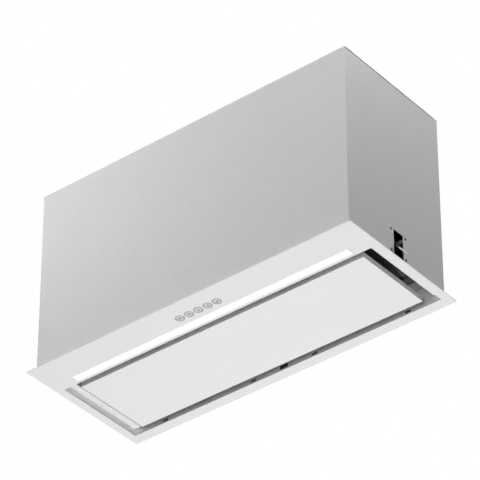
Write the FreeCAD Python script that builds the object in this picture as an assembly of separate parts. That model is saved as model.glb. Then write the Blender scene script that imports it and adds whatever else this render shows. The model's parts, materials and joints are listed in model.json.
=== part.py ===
"""Built-in range hood with a perimeter suction panel.

Millimetres. The origin is the centre of the visible underside of the trim, +Z points up,
+X to the right and -Y to the front, where the buttons are.
"""
import FreeCAD, Part
import math
import os

V = FreeCAD.Vector

# Outside of the hood
TRIM_WIDTH = 700.0
TRIM_DEPTH = 293.0
CASING_HEIGHT = 378.0
OVERHANG_SIDE = 12.0
OVERHANG_FRONT = 13.0
OVERHANG_REAR = 17.0

# Sheet metal
TRIM_SHEET = 1.2
STEEL = 1.0
BEND = 0.5
TRIM_CORNER = 2.0
TRIM_EDGE_ROUND = 0.4
LID_FLANGE = 12.0
LID_SEAM = 1.8
LID_INSET = 6.0
FOLD_WIDTH = 12.0
SEAT_GAP = 0.3

# Suction opening in the trim, with the recess walls above it
FRONT_LAND = 81.5
RECESS_SIDE_SPACE = 2.3
RECESS_REAR_SPACE = 3.2
RECESS_REAR_HEIGHT = 48.0
COVER_FOLD = 14.0
LEDGE_HEIGHT = 12.7
LEDGE_WIDTH = 14.3
LEDGE_END_SPACE = 1.0
LEDGE_TOP_SPACE = 4.0
FILTER_HEIGHT = 60.0
SLOT_WIDTH = 12.0
SLOT_TALL = 4.6
SLOT_HEIGHT = 3.2
SLOT_INNER = 67.0
SLOT_OUTER = 265.0
WINDOW_WIDTH = 18.0
WINDOW_TALL = 9.0
WINDOW_HEIGHT = 3.0

# Suction panel and its concealed hinge
PANEL_GAP_SIDE = 27.7
PANEL_GAP_FRONT = 12.0
PANEL_GAP_REAR = 14.3
PANEL_THICK = 10.0
PANEL_EDGE_ROUND = 1.0
HINGE_SPREAD = 200.0
HINGE_INSET = 10.0
HINGE_HEIGHT = 20.0
HINGE_PIN = 3.0
HINGE_EYE = 7.0
HINGE_PLATE = 2.0
RUNNING_GAP = 0.05
SIDE_PLAY = 0.5
MAGNET_SPREAD = 150.0
MAGNET_WIDTH = 46.0
MAGNET_DEPTH = 17.0
MAGNET_TALL = 11.0

# Lamp strip
LAMP_MARGIN = 49.5
LAMP_WIDTH = 22.0
LAMP_WEB = 1.3
LAMP_TALL = 13.0
LAMP_WALL = 1.2
CHIP_COUNT = 20
CHIP_SIZE = 5.0
DRIVER_EDGE = 54.0
DRIVER_LENGTH = 120.0
DRIVER_DEPTH = 24.0
DRIVER_TALL = 22.0

# Push buttons
BUTTON_COUNT = 5
BUTTON_PITCH = 20.0
BUTTON_DIAMETER = 16.5
BUTTON_INSET = 40.5
BUTTON_GAP = 0.3
BUTTON_FLANGE = 0.9
BUTTON_STEM = 3.0
BUTTON_TRAVEL = 1.5
SWITCH_BODY = 6.0
SWITCH_TALL = 4.0
SWITCH_PLUNGER = 0.8
HOUSING_TALL = 20.0
HOUSING_WALL = 2.0
HOUSING_MARGIN = 3.5
HOUSING_CORNER = 3.0

# Grease filters
FILTER_THICK = 9.0
FILTER_BAR = 13.0
FILTER_LIP = 15.0
FILTER_BITE = 3.0
FILTER_PARTING = 0.5
FILTER_CORNER = 4.0
FILTER_WALL = 1.5
FILTER_FRONT_SPACE = 1.5
MESH_SHEET = 0.7
PLEAT_COUNT = 22
LATCH_SHEET = 3.0
LATCH_PLAY = 1.0
LATCH_PAD_EDGE = 6.0
LATCH_WIDTH = 44.0
LATCH_LENGTH = 26.0
LATCH_TRAVEL = 8.0
LATCH_GRIP = 8.0

# Blower, on a horizontal shaft along X
WHEEL_RADIUS = 70.0
WHEEL_SIDE_GAP = 2.0
HUB_RADIUS = 12.0
HUB_FRONT = 12.0
HUB_REAR = 3.0
BLADE_COUNT = 30
RING_THICK = 3.0
BLADE_DEPTH = 12.0
BLADE_LEAN = 11.0
BLADE_ANGLE_THICK = 1.1
SHAFT_RADIUS = 4.0
SCROLL_WIDTH = 150.0
SCROLL_WALL = 2.0
SCROLL_START = 1.09
SCROLL_GROWTH = 36.0
SCROLL_SPACE = 6.0
FILTER_SPACE = 26.0
TONGUE_ANGLE = 62.0
NECK_TALL = 100.0
INLET_RADIUS = 57.0
MOUTH_DEPTH = 6.0
MOTOR_RADIUS = 40.0
MOTOR_GAP = 3.0
MOTOR_NECK = 10.0
MOTOR_NECK_RADIUS = 22.0
MOTOR_BOSS_RADIUS = 11.0
MOUNT_CIRCLE = 66.0
GROMMET_TALL = 3.0
GROMMET_RADIUS = 6.0
BRACKET_SHEET = 2.0
BRACKET_ARM = 14.0
CAPACITOR_EDGE = 147.0
CAPACITOR_RADIUS = 15.0
CAPACITOR_LENGTH = 70.0

# Air outlet
COLLAR_RADIUS = 74.5
COLLAR_WALL = 2.5
COLLAR_TALL = 45.0
COLLAR_FLANGE = 14.0
COLLAR_FLANGE_THICK = 3.0
COLLAR_Y = 34.0
FLAP_HEIGHT = 12.0
FLAP_THICK = 1.6
FLAP_OFFSET = 5.0
FLAP_PIVOT = 2.0
FLAP_EDGE_GAP = 1.0
FLAP_LIP = 3.0

# Control box and cable gland, hung from the top cover
BOX_LENGTH = 120.0
BOX_DEPTH = 100.0
BOX_TALL = 42.0
BOX_WALL = 2.0
BOX_CORNER = 3.0
BOX_EDGE = 33.0
BOX_Y = -25.0
BOSS_RADIUS = 4.5
BOSS_INSET = 6.0
BOARD_DROP = 14.0
BOARD_SHEET = 1.6
GLAND_Y = 75.0
GLAND_RADIUS = 8.0
GLAND_BORE = 4.0

# Spring clip in a window on each side, with four fixing holes round it
CLIP_Y = 2.0
CLIP_WINDOW_WIDTH = 26.0
CLIP_WINDOW_BOTTOM = 14.0
CLIP_WINDOW_TOP = 66.0
CLIP_WIDTH = 24.0
CLIP_SHEET = 0.8
CLIP_PIVOT_HEIGHT = 56.0
CLIP_PIVOT_INSET = 14.0
CLIP_PIN = 1.5
CLIP_TIP_HEIGHT = 24.0
CLIP_TIP_PROUD = 11.0
CLIP_HEM = 2.5
CLIP_LUG = 3.4
SIDE_HOLE_HEIGHT = 42.0
SIDE_HOLE_SPREAD = 40.0
SIDE_HOLE_RISE = 43.0
SIDE_HOLE_DIAMETER = 5.4

# Pan-head screws
SCREW_RADIUS = 1.75
SCREW_HEAD = 3.4
SCREW_HEAD_TALL = 2.2
SCREW_LENGTH = 9.0
SCREW_GAP = 0.1

# Places worked out from the sizes above
TRIM_X = TRIM_WIDTH / 2
TRIM_Y = TRIM_DEPTH / 2
BODY_X = TRIM_X - OVERHANG_SIDE
BODY_FRONT = -TRIM_Y + OVERHANG_FRONT
BODY_REAR = TRIM_Y - OVERHANG_REAR
WRAP_TOP = CASING_HEIGHT - STEEL
INNER_X = BODY_X - STEEL
INNER_FRONT = BODY_FRONT + STEEL
INNER_REAR = BODY_REAR - STEEL
OPEN_X = INNER_X - STEEL - RECESS_SIDE_SPACE
OPEN_FRONT = -TRIM_Y + FRONT_LAND
OPEN_REAR = INNER_REAR - STEEL - RECESS_REAR_SPACE
PANEL_X = OPEN_X - PANEL_GAP_SIDE
PANEL_FRONT = OPEN_FRONT + PANEL_GAP_FRONT
PANEL_REAR = OPEN_REAR - PANEL_GAP_REAR
HINGE_Y = PANEL_REAR - HINGE_INSET
LAMP_LENGTH = TRIM_WIDTH - 2 * LAMP_MARGIN
LAMP_REAR = OPEN_FRONT - LAMP_WEB
LAMP_FRONT = LAMP_REAR - LAMP_WIDTH
BUTTON_Y = -TRIM_Y + BUTTON_INSET
FILTER_FRONT = OPEN_FRONT + FILTER_LIP + FILTER_FRONT_SPACE
FILTER_REAR = OPEN_REAR - FILTER_BITE
FILTER_X = OPEN_X - LEDGE_WIDTH - SEAT_GAP
WHEEL_WIDTH = SCROLL_WIDTH - 2 * (MOUTH_DEPTH + WHEEL_SIDE_GAP)
MOTOR_START = HUB_REAR + MOTOR_GAP
MOTOR_SEAT = SCROLL_WIDTH / 2 + GROMMET_TALL
MOTOR_REAR = MOTOR_SEAT - MOTOR_NECK
SCROLL_R0 = WHEEL_RADIUS * SCROLL_START
SCROLL_R1 = SCROLL_R0 + SCROLL_GROWTH
SCROLL_Y = INNER_FRONT + SCROLL_R0 + SCROLL_GROWTH * 0.45 + SCROLL_WALL + SCROLL_SPACE
SCROLL_Z = FILTER_HEIGHT + FILTER_THICK + FILTER_SPACE + SCROLL_R0 + SCROLL_GROWTH * 0.75
NECK_Z = SCROLL_Z + NECK_TALL
SWITCH_BASE = TRIM_SHEET + HOUSING_TALL - SWITCH_TALL
COLLAR_INNER = COLLAR_RADIUS - COLLAR_WALL
BOX_X = -BODY_X + BOX_EDGE + BOX_LENGTH / 2
GLAND_X = BOX_X
FLAP_Z = CASING_HEIGHT + FLAP_HEIGHT


def box(x0, x1, y0, y1, z0, z1):
    """A block between two opposite corners."""
    return Part.makeBox(x1 - x0, y1 - y0, z1 - z0, V(x0, y0, z0))


def rod(radius, start, stop):
    """A round bar from one point to another."""
    along = stop - start
    return Part.makeCylinder(radius, along.Length, start, along)


def joined(first, *others):
    """Touching solids made into one piece."""
    return first.fuse(list(others)).removeSplitter()


def mirrored(shape):
    """The same shape on the other side of the middle plane."""
    return shape.mirror(V(0, 0, 0), V(1, 0, 0))


def place(axis, a, b, along):
    """A profile point (a, b) at a distance along the axis, in the part's frame."""
    if axis == "x":
        return V(along, a, b)
    if axis == "y":
        return V(a, along, b)
    return V(a, b, along)


def rounded_run(points, radii, closed=False):
    """Edges through the points, with an arc at each corner that has a radius."""
    count = len(points)
    arrive = list(points)
    leave = list(points)
    arcs = {}
    for index in range(count) if closed else range(1, count - 1):
        if radii[index] <= 0:
            continue
        corner = points[index]
        back = (points[index - 1] - corner).normalize()
        ahead = (points[(index + 1) % count] - corner).normalize()
        half = back.getAngle(ahead) / 2
        reach = radii[index] / math.tan(half)
        inward = (back + ahead).normalize()
        arrive[index] = corner + back * reach
        leave[index] = corner + ahead * reach
        middle = corner + inward * (radii[index] / math.sin(half) - radii[index])
        arcs[index] = Part.Arc(arrive[index], middle, leave[index]).toShape()
    edges = []
    for index in range(count if closed else count - 1):
        following = (index + 1) % count
        if leave[index].distanceToPoint(arrive[following]) > 1e-6:
            edges.append(Part.makeLine(leave[index], arrive[following]))
        if following in arcs:
            edges.append(arcs[following])
    return edges


def prism(axis, start, stop, outline, radius=0.0, radii=None):
    """A closed outline of (a, b) points, its corners rounded, extruded along an axis."""
    points = [place(axis, a, b, start) for a, b in outline]
    edges = rounded_run(points, radii or [radius] * len(points), closed=True)
    return Part.Face(Part.Wire(edges)).extrude(place(axis, 0, 0, stop - start))


def rectangle(a0, a1, b0, b1):
    return [(a0, b0), (a1, b0), (a1, b1), (a0, b1)]


def bent_sheet(axis, start, stop, path, thick=STEEL, bend=BEND):
    """A strip folded along an open path of (a, b) points; the metal lies left of the path."""
    steps = [((b[0] - a[0]), (b[1] - a[1])) for a, b in zip(path, path[1:])]
    units = [(da / math.hypot(da, db), db / math.hypot(da, db)) for da, db in steps]
    near_radii = [0.0] * len(path)
    far_radii = [0.0] * len(path)
    far = []
    for index, (a, b) in enumerate(path):
        before = units[max(index - 1, 0)]
        after = units[min(index, len(units) - 1)]
        scale = thick / (1 + before[0] * after[0] + before[1] * after[1])
        far.append((a - (before[1] + after[1]) * scale, b + (before[0] + after[0]) * scale))
        turn = before[0] * after[1] - before[1] * after[0]
        near_radii[index] = bend + thick if turn > 0 else bend
        far_radii[index] = bend if turn > 0 else bend + thick
    near_points = [place(axis, a, b, start) for a, b in path]
    far_points = [place(axis, a, b, start) for a, b in far]
    edges = rounded_run(near_points, near_radii)
    edges.append(Part.makeLine(near_points[-1], far_points[-1]))
    edges += rounded_run(far_points[::-1], far_radii[::-1])
    edges.append(Part.makeLine(far_points[0], near_points[0]))
    return Part.Face(Part.Wire(edges)).extrude(place(axis, 0, 0, stop - start))


def turned(profile, base, axis_direction, across):
    """A profile of (along, radius) points turned round an axis through base."""
    points = [base + axis_direction * along + across * radius for along, radius in profile]
    face = Part.Face(Part.makePolygon(points + [points[0]]))
    return face.revolve(base, axis_direction, 360)


def screw(tip_direction, seat):
    """A pan-head screw: domed head with a cross slot on the seat, shank pointing along the tip."""
    across = V(0, 0, 1) if abs(tip_direction.z) < 0.5 else V(1, 0, 0)
    side = tip_direction.cross(across)
    crown = seat - tip_direction * SCREW_HEAD_TALL
    rim = seat - tip_direction * (SCREW_HEAD_TALL * 0.35) + across * SCREW_HEAD
    shoulder = seat - tip_direction * (SCREW_HEAD_TALL * 0.8) + across * (SCREW_HEAD * 0.68)
    foot = seat + tip_direction * SCREW_LENGTH
    edges = [
        Part.Arc(crown, shoulder, rim).toShape(),
        Part.makeLine(rim, seat + across * SCREW_HEAD),
        Part.makeLine(seat + across * SCREW_HEAD, seat + across * SCREW_RADIUS),
        Part.makeLine(seat + across * SCREW_RADIUS, foot + across * SCREW_RADIUS),
        Part.makeLine(foot + across * SCREW_RADIUS, foot),
        Part.makeLine(foot, crown),
    ]
    body = Part.Face(Part.Wire(edges)).revolve(seat, tip_direction, 360)
    for direction in (across, side):
        normal = tip_direction.cross(direction)
        corner = crown - direction * (SCREW_HEAD * 0.55) - normal * 0.4 - tip_direction * 0.2
        slot = Part.makePolygon([
            corner,
            corner + direction * (SCREW_HEAD * 1.1),
            corner + direction * (SCREW_HEAD * 1.1) + normal * 0.8,
            corner + normal * 0.8,
            corner,
        ])
        body = body.cut(Part.Face(slot).extrude(tip_direction * 1.1))
    return body


def screw_holes(tip_direction, seats):
    """Clearance holes for screws, cut right through the sheets behind their heads."""
    radius = SCREW_RADIUS + SCREW_GAP
    reach = tip_direction * (SCREW_LENGTH + 1)
    return [rod(radius, seat - tip_direction, seat + reach) for seat in seats]


def rear_screw_seats():
    """Screws that hold the rear wall to the folds of the wrap."""
    low = RECESS_REAR_HEIGHT + 20
    high = CASING_HEIGHT - 20
    offset = INNER_X - FOLD_WIDTH * 0.45
    heights = [low, (low + high) / 2, high]
    return [V(side * offset, BODY_REAR, height) for side in (-1, 1) for height in heights]


def collar_screw_seats():
    """Four screws through the flange of the outlet collar."""
    circle = COLLAR_RADIUS + COLLAR_FLANGE * 0.55
    height = CASING_HEIGHT + COLLAR_FLANGE_THICK
    angles = [math.radians(45 + 90 * index) for index in range(4)]
    return [V(circle * math.cos(t), COLLAR_Y + circle * math.sin(t), height) for t in angles]


def motor_mount_points():
    """Three rubber mounts on the right side plate of the scroll."""
    angles = [math.radians(90 + 120 * index) for index in range(3)]
    across = [V(0, math.cos(t), math.sin(t)) for t in angles]
    base = V(SCROLL_WIDTH / 2, SCROLL_Y, SCROLL_Z)
    return [base + direction * MOUNT_CIRCLE for direction in across]


def motor_screw_seats():
    """Screw heads sit on the outer face of the motor bracket."""
    return [point + V(GROMMET_TALL + BRACKET_SHEET, 0, 0) for point in motor_mount_points()]


def casing_wrap():
    """Front and both sides from one folded sheet, with rear folds, clip windows and lugs."""
    path = [
        (-INNER_X + FOLD_WIDTH, INNER_REAR),
        (-BODY_X, INNER_REAR),
        (-BODY_X, BODY_FRONT),
        (BODY_X, BODY_FRONT),
        (BODY_X, INNER_REAR),
        (INNER_X - FOLD_WIDTH, INNER_REAR),
    ]
    wrap = bent_sheet("z", TRIM_SHEET, WRAP_TOP, path)
    foot = bent_sheet(
        "x", -INNER_X + FOLD_WIDTH, INNER_X - FOLD_WIDTH,
        [
            (INNER_FRONT, TRIM_SHEET + FOLD_WIDTH),
            (INNER_FRONT, TRIM_SHEET),
            (INNER_FRONT + FOLD_WIDTH, TRIM_SHEET),
        ],
    )
    half = CLIP_WINDOW_WIDTH / 2
    cuts = []
    lugs = [foot]
    for side in (-1, 1):
        near, far = sorted((side * (INNER_X - 30), side * (BODY_X + 5)))
        window = rectangle(CLIP_Y - half, CLIP_Y + half, CLIP_WINDOW_BOTTOM, CLIP_WINDOW_TOP)
        cuts.append(prism("x", side * (INNER_X - 1), side * (BODY_X + 1), window, 1.5))
        for y_sign in (-1, 1):
            for z_sign in (-1, 1):
                y = CLIP_Y + y_sign * SIDE_HOLE_SPREAD / 2
                z = SIDE_HOLE_HEIGHT + z_sign * SIDE_HOLE_RISE / 2
                cuts.append(rod(SIDE_HOLE_DIAMETER / 2, V(near, y, z), V(far, y, z)))
            inner = BODY_X - CLIP_PIVOT_INSET - CLIP_LUG
            lug = rectangle(inner, INNER_X, CLIP_PIVOT_HEIGHT - CLIP_LUG, CLIP_PIVOT_HEIGHT + CLIP_LUG)
            y0, y1 = sorted((CLIP_Y + y_sign * half, CLIP_Y + y_sign * (half + STEEL)))
            lug = prism("y", y0, y1, lug, radii=[CLIP_LUG * 0.8, 0, 0, CLIP_LUG * 0.8])
            lugs.append(lug if side > 0 else mirrored(lug))
        pivot = V(side * (BODY_X - CLIP_PIVOT_INSET), CLIP_Y, CLIP_PIVOT_HEIGHT)
        cuts.append(rod(CLIP_PIN, pivot - V(0, half + 4, 0), pivot + V(0, half + 4, 0)))
        outer = side * (BODY_X + 1)
        seam_inner = side * (INNER_X - 1)
        x0, x1 = sorted((seam_inner, outer))
        seam_front = BODY_FRONT + BEND + STEEL
        cuts.append(box(x0, x1, seam_front, INNER_REAR - FOLD_WIDTH, WRAP_TOP - LID_SEAM, WRAP_TOP + 1))
    cuts += screw_holes(V(0, -1, 0), rear_screw_seats())
    return joined(wrap, *lugs).cut(cuts)


def casing_rear():
    """Rear wall set between the sides, screwed to the folds of the wrap."""
    edge = INNER_X - SEAT_GAP
    wall = prism("y", INNER_REAR, BODY_REAR, rectangle(-edge, edge, TRIM_SHEET, WRAP_TOP))
    return wall.cut(screw_holes(V(0, -1, 0), rear_screw_seats()))


def casing_top():
    """Top cover with flanges inside both walls, the air outlet and the gland hole."""
    edge = INNER_X - LID_INSET
    low = WRAP_TOP - LID_FLANGE
    front = INNER_FRONT + BEND + SEAT_GAP
    rear = INNER_REAR - STEEL - SEAT_GAP
    path = [(-edge, low), (-edge, CASING_HEIGHT), (edge, CASING_HEIGHT), (edge, low)]
    folded = bent_sheet("y", front, rear, path[::-1])
    plate = box(-BODY_X, BODY_X, BODY_FRONT, BODY_REAR, WRAP_TOP, CASING_HEIGHT)
    outlet = V(0, COLLAR_Y, 0)
    gland = V(GLAND_X, GLAND_Y, 0)
    below = V(0, 0, WRAP_TOP - STEEL)
    above = V(0, 0, CASING_HEIGHT + STEEL)
    cuts = [
        rod(COLLAR_INNER - FLAP_LIP, outlet + below, outlet + above),
        rod(GLAND_RADIUS, gland + below, gland + above),
    ]
    return joined(plate, folded).cut(cuts + screw_holes(V(0, 0, -1), collar_screw_seats()))


def button_centres():
    first = -(BUTTON_COUNT - 1) / 2 * BUTTON_PITCH
    return [V(first + index * BUTTON_PITCH, BUTTON_Y, 0) for index in range(BUTTON_COUNT)]


def trim_frame():
    """White flange that covers the cut-out, open for the panel, the lamp and the buttons."""
    plate = prism("z", 0, TRIM_SHEET, rectangle(-TRIM_X, TRIM_X, -TRIM_Y, TRIM_Y), TRIM_CORNER)
    rim = [edge for edge in plate.Edges if edge.BoundBox.ZMax < 1e-6]
    plate = plate.makeFillet(TRIM_EDGE_ROUND, rim)
    below = -1
    above = TRIM_SHEET + 1
    cuts = [
        box(-OPEN_X, OPEN_X, OPEN_FRONT, OPEN_REAR, below, above),
        box(-LAMP_LENGTH / 2, LAMP_LENGTH / 2, LAMP_FRONT, LAMP_REAR, below, above),
    ]
    for centre in button_centres():
        hole = BUTTON_DIAMETER / 2 + BUTTON_GAP
        cuts.append(rod(hole, centre + V(0, 0, below), centre + V(0, 0, above)))
    return plate.cut(cuts)


def recess_frame():
    """Steel walls round the opening: high at the front and rear, low under the ledges."""
    base = TRIM_SHEET
    outer = OPEN_X + STEEL
    front = box(-outer, outer, OPEN_FRONT - STEEL, OPEN_FRONT, base, FILTER_HEIGHT - STEEL)
    rear = box(-outer, outer, OPEN_REAR, OPEN_REAR + STEEL, base, RECESS_REAR_HEIGHT)
    right = box(OPEN_X, outer, OPEN_FRONT, OPEN_REAR, base, LEDGE_HEIGHT)
    cuts = []
    for centre in (-SLOT_OUTER, -SLOT_INNER, SLOT_INNER, SLOT_OUTER):
        edge = centre - SLOT_WIDTH / 2
        slot = rectangle(edge, edge + SLOT_WIDTH, SLOT_HEIGHT, SLOT_HEIGHT + SLOT_TALL)
        cuts.append(prism("y", OPEN_REAR - 1, OPEN_REAR + STEEL + 1, slot, 1.0))
    window = rectangle(-WINDOW_WIDTH / 2, WINDOW_WIDTH / 2, WINDOW_HEIGHT, WINDOW_HEIGHT + WINDOW_TALL)
    cuts.append(prism("y", OPEN_REAR - 1, OPEN_REAR + STEEL + 1, window, 1.0))
    return joined(front, rear, right, mirrored(right)).cut(cuts)


def ledge_right():
    """White angle on the low side wall, guarding the end of the filters."""
    inner = OPEN_X - LEDGE_WIDTH
    top = FILTER_HEIGHT - LEDGE_TOP_SPACE
    path = [(INNER_X - SEAT_GAP, LEDGE_HEIGHT), (inner, LEDGE_HEIGHT), (inner, top)]
    return bent_sheet("y", OPEN_FRONT, OPEN_REAR - LEDGE_END_SPACE, path[::-1])


def compartment_cover():
    """Closes the lamp and control space; its rear edge carries the filter latches."""
    path = [
        (INNER_FRONT, FILTER_HEIGHT - COVER_FOLD),
        (INNER_FRONT, FILTER_HEIGHT),
        (OPEN_FRONT + FILTER_LIP, FILTER_HEIGHT),
    ]
    end = INNER_X - BEND - SEAT_GAP
    return bent_sheet("x", -end, end, path[::-1])


def filter_rail():
    """Angle on the rear recess wall under the rear edge of the filters."""
    path = [
        (OPEN_REAR, RECESS_REAR_HEIGHT - 8),
        (OPEN_REAR, FILTER_HEIGHT),
        (OPEN_REAR - FILTER_LIP, FILTER_HEIGHT),
    ]
    return bent_sheet("x", -OPEN_X, OPEN_X, path)


def filter_outline(inset):
    """Outline of the right filter, drawn in all round by an inset."""
    return rectangle(
        FILTER_PARTING + inset, FILTER_X - inset, FILTER_FRONT + inset, FILTER_REAR - inset)


def filter_middle():
    """Where the latch sits across the right filter."""
    return (FILTER_X + FILTER_PARTING) / 2


def latch_pad_rear():
    """Rear end of the pad that the latch slides in."""
    return FILTER_FRONT + LATCH_LENGTH + LATCH_TRAVEL


def filter_frame_right():
    """Rolled aluminium frame with a pad at the front for the latch."""
    top = FILTER_HEIGHT + FILTER_THICK
    frame = prism("z", FILTER_HEIGHT, top, filter_outline(0), FILTER_CORNER)
    hollow = prism("z", FILTER_HEIGHT - 1, top + 1, filter_outline(FILTER_BAR), FILTER_CORNER - 1)
    groove_floor = FILTER_HEIGHT + FILTER_WALL
    groove = prism("z", groove_floor, top - FILTER_WALL, filter_outline(2 * FILTER_WALL), FILTER_CORNER - 2)
    half = LATCH_WIDTH / 2
    middle = filter_middle()
    pad_half = half + LATCH_PAD_EDGE
    pad_top = FILTER_HEIGHT + LATCH_SHEET + LATCH_PLAY + LATCH_PAD_EDGE / 2
    pad = box(middle - pad_half, middle + pad_half, FILTER_FRONT, latch_pad_rear(), FILTER_HEIGHT, pad_top)
    track_rear = latch_pad_rear() - LATCH_PAD_EDGE / 2
    track_top = FILTER_HEIGHT + LATCH_SHEET + LATCH_PLAY
    half += SEAT_GAP
    track = box(middle - half, middle + half, FILTER_FRONT - 1, track_rear, FILTER_HEIGHT - 1, track_top)
    return joined(frame.cut([hollow, groove]), pad).cut(track)


def filter_mesh_right():
    """Pleated aluminium mesh held in the groove of the frame."""
    low = FILTER_HEIGHT + FILTER_WALL + SEAT_GAP
    high = FILTER_HEIGHT + FILTER_THICK - FILTER_WALL - SEAT_GAP - MESH_SHEET
    edge = 2 * FILTER_WALL + 1
    start = FILTER_PARTING + edge
    step = (FILTER_X - edge - start) / PLEAT_COUNT
    lower = [(start + index * step, low if index % 2 else high) for index in range(PLEAT_COUNT + 1)]
    upper = [(a, b + MESH_SHEET) for a, b in reversed(lower)]
    sheet = prism("y", FILTER_FRONT + edge, FILTER_REAR - edge, lower + upper)
    half = LATCH_WIDTH / 2 + LATCH_PAD_EDGE + 0.5
    middle = filter_middle()
    top = FILTER_HEIGHT + 2 * FILTER_THICK
    rear = latch_pad_rear() + 0.5
    return sheet.cut(box(middle - half, middle + half, FILTER_FRONT, rear, FILTER_HEIGHT, top))


def filter_latch_right():
    """Sliding latch: its tongue rests on the compartment cover, its grip hangs below."""
    half = LATCH_WIDTH / 2
    middle = filter_middle()
    front = FILTER_FRONT - LATCH_TRAVEL
    low = FILTER_HEIGHT
    path = [
        (front, low),
        (front + LATCH_LENGTH, low),
        (front + LATCH_LENGTH, low - LATCH_GRIP),
    ]
    return bent_sheet("x", middle - half, middle + half, path, thick=LATCH_SHEET, bend=0.6)


def panel_skin():
    """White tray with folded returns, the face that shows in the opening."""
    tray = prism("z", 0, PANEL_THICK, rectangle(-PANEL_X, PANEL_X, PANEL_FRONT, PANEL_REAR), 1.5)
    rim = [edge for edge in tray.Edges if edge.BoundBox.ZMax < 1e-6]
    tray = tray.makeFillet(PANEL_EDGE_ROUND, rim)
    inner = rectangle(-PANEL_X + STEEL, PANEL_X - STEEL, PANEL_FRONT + STEEL, PANEL_REAR - STEEL)
    return tray.cut(prism("z", STEEL, PANEL_THICK + 1, inner, 0.6))


def panel_back():
    """Steel stiffener folded into the tray, which the magnets hold."""
    front = PANEL_FRONT + STEEL
    rear = PANEL_REAR - STEEL
    path = [(front, STEEL), (front, PANEL_THICK), (rear, PANEL_THICK), (rear, STEEL)]
    return bent_sheet("x", -PANEL_X + 4, PANEL_X - 4, path[::-1])


def hinge_arm_right():
    """Ear on the panel's back plate with a foot, carrying the hinge pin."""
    x0 = HINGE_SPREAD
    y0 = HINGE_Y - HINGE_EYE
    y1 = HINGE_Y + HINGE_EYE
    centre = V(x0, HINGE_Y, HINGE_HEIGHT)
    edges = [
        Part.makeLine(V(x0, y0, HINGE_HEIGHT), V(x0, y0, PANEL_THICK)),
        Part.makeLine(V(x0, y0, PANEL_THICK), V(x0, y1, PANEL_THICK)),
        Part.makeLine(V(x0, y1, PANEL_THICK), V(x0, y1, HINGE_HEIGHT)),
        Part.Arc(V(x0, y1, HINGE_HEIGHT), centre + V(0, 0, HINGE_EYE), V(x0, y0, HINGE_HEIGHT)).toShape(),
    ]
    ear = Part.Face(Part.Wire(edges)).extrude(V(HINGE_PLATE, 0, 0))
    foot = box(x0 - 16, x0 + HINGE_PLATE, y0 - 8, HINGE_Y, PANEL_THICK, PANEL_THICK + 1.5)
    bore = rod(HINGE_PIN, centre - V(5, 0, 0), centre + V(5 + HINGE_PLATE, 0, 0))
    return joined(ear, foot).cut(bore)


def hinge_bracket_right():
    """Arm from the rear wall that reaches over the panel's swing and down to the pin."""
    x0 = HINGE_SPREAD + HINGE_PLATE + SIDE_PLAY
    x1 = x0 + HINGE_PLATE
    high = RECESS_REAR_HEIGHT - 9
    low = high - 6
    front = HINGE_Y - HINGE_EYE
    outline = [
        (OPEN_REAR, low),
        (OPEN_REAR, high),
        (front, high),
        (front, HINGE_HEIGHT - HINGE_EYE + 1),
        (HINGE_Y + HINGE_EYE - 3, HINGE_HEIGHT - HINGE_EYE + 1),
        (HINGE_Y + HINGE_EYE - 3, low),
    ]
    plate = prism("x", x0, x1, outline, radii=[0, 0, 4, 5, 3, 2])
    foot = box(x0, x1 + 16, OPEN_REAR - HINGE_PLATE, OPEN_REAR, low, high)
    centre = V(0, HINGE_Y, HINGE_HEIGHT)
    bore = rod(HINGE_PIN + RUNNING_GAP, centre + V(x0 - 1, 0, 0), centre + V(x1 + 1, 0, 0))
    return joined(plate, foot).cut(bore)


def hinge_pins():
    """Headed pins fixed in the ears and turning in the brackets."""
    start = HINGE_SPREAD - 2
    stop = HINGE_SPREAD + 2 * HINGE_PLATE + SIDE_PLAY + 1.5
    profile = [
        (start, 0), (start, HINGE_PIN + 1.5), (HINGE_SPREAD, HINGE_PIN + 1.5),
        (HINGE_SPREAD, HINGE_PIN), (stop - 0.6, HINGE_PIN), (stop, HINGE_PIN - 0.6), (stop, 0),
    ]
    pin = turned(profile, V(0, HINGE_Y, HINGE_HEIGHT), V(1, 0, 0), V(0, 1, 0))
    return Part.makeCompound([mirrored(pin), pin])


def catch_magnet_right():
    """Magnet holder on the front recess wall, its poles on the panel's back plate."""
    low = PANEL_THICK + 0.2
    half = MAGNET_WIDTH / 2
    holder = prism(
        "x", MAGNET_SPREAD - half, MAGNET_SPREAD + half,
        [
            (OPEN_FRONT, low + 2),
            (OPEN_FRONT, low + MAGNET_TALL + 8),
            (OPEN_FRONT + 3, low + MAGNET_TALL + 8),
            (OPEN_FRONT + 3, low + MAGNET_TALL),
            (OPEN_FRONT + 8 + MAGNET_DEPTH, low + MAGNET_TALL),
            (OPEN_FRONT + 8 + MAGNET_DEPTH, low),
            (OPEN_FRONT + 15, low),
            (OPEN_FRONT + 15, low + 2),
        ],
        radii=[0, 0, 1, 2, 1.5, 1, 1, 1],
    )
    groove = box(
        MAGNET_SPREAD - half + 4, MAGNET_SPREAD + half - 4,
        OPEN_FRONT + 18, OPEN_FRONT + 5 + MAGNET_DEPTH, low - 1, low + 1.5,
    )
    return holder.cut(groove)


def lamp_profile():
    """Aluminium channel that holds the board over the slot in the trim."""
    base = TRIM_SHEET
    top = base + LAMP_TALL
    path = [
        (LAMP_FRONT - LAMP_WALL, base), (LAMP_FRONT - LAMP_WALL, top), (LAMP_REAR, top), (LAMP_REAR, base),
    ]
    return bent_sheet("x", -LAMP_LENGTH / 2, LAMP_LENGTH / 2, path[::-1], thick=LAMP_WALL, bend=0.4)


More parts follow.
